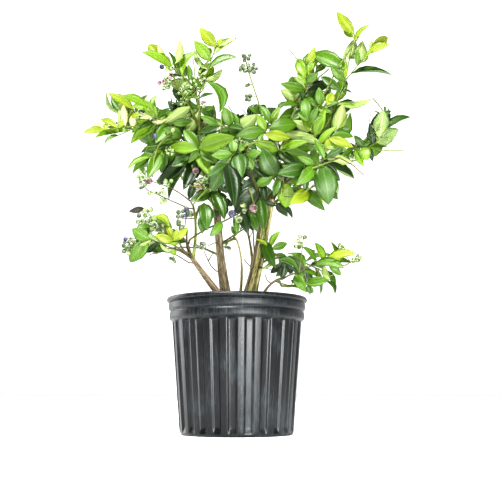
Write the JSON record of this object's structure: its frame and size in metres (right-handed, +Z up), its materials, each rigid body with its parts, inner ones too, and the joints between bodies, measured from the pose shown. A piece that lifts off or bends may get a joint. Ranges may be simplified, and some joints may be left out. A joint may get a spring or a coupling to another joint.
{
  "type": "blueberry bush in a pot",
  "caption": "Leafy young blueberry bush with bare forking canes and small berries, growing in a fluted round plastic nursery pot filled with soil.",
  "frame": {"origin": "centre of the pot's flat underside, on the pot's axis", "axes": "+Z up along the pot's axis, -Y towards the side shown, +X towards the plant's right"},
  "size_m": [0.6158, 0.47, 0.8134],
  "materials": {
    "pot_plastic": "semi-gloss dark charcoal, finely scuffed, concave flutes",
    "potting_soil": "dark brown moist potting soil, crumbly",
    "cane_bark": "grey-brown to tan bark, thin flaking strips",
    "green_bark": "smooth olive-green young bark",
    "foliage": "glossy green leaves, yellow-green at the tips, with berries"
  },
  "bodies": {
    "root": {"pot": "pot_plastic", "soil": "potting_soil", "cane_main": "cane_bark", "cane_left": "cane_bark", "cane_thin": "cane_bark", "cane_brown": "cane_bark", "cane_olive": "cane_bark", "cane_yellow": "cane_bark", "cane_low": "cane_bark", "cane_back_left": "cane_bark", "cane_back_right": "cane_bark", "bough_left_leader": "green_bark", "bough_inner": "green_bark", "bough_left_reach": "green_bark", "bough_left_rise": "green_bark", "bough_right_leader": "green_bark", "bough_right_reach": "green_bark", "bough_right_front": "green_bark", "bough_centre_front": "green_bark", "bough_upper_mid": "green_bark", "bough_back_left": "green_bark", "bough_back_right": "green_bark", "bough_back_top": "green_bark", "mass_top_left": "foliage", "mass_top_left_side": "foliage", "mass_left_reach": "foliage", "mass_left_mid": "foliage", "mass_left_fruit": "foliage", "mass_low_left": "foliage", "mass_low_left_upper": "foliage", "mass_rise_side": "foliage", "mass_centre_left": "foliage", "mass_centre_hang": "foliage", "mass_berry_arm": "foliage", "mass_fruit_spire": "foliage", "mass_centre_right": "foliage", "mass_centre_front": "foliage", "mass_trunk_leaves": "foliage", "mass_upper_mid": "foliage", "mass_top_right": "foliage", "mass_right_shoulder": "foliage", "mass_right_reach": "foliage", "mass_right_front": "foliage", "mass_right_hang": "foliage", "mass_low_right": "foliage", "mass_low_right_under": "foliage", "mass_low_right_inner": "foliage", "mass_thin_top": "foliage", "mass_twin_left": "foliage", "mass_left_inner": "foliage", "mass_back_left_top": "foliage", "mass_back_left_out": "foliage", "mass_back_centre": "foliage", "mass_back_right_top": "foliage", "mass_back_right_out": "foliage", "mass_back_crown": "foliage", "mass_back_shoulder": "foliage", "mass_low_back_left": "foliage", "mass_low_back_right": "foliage"}
  },
  "joints": []
}
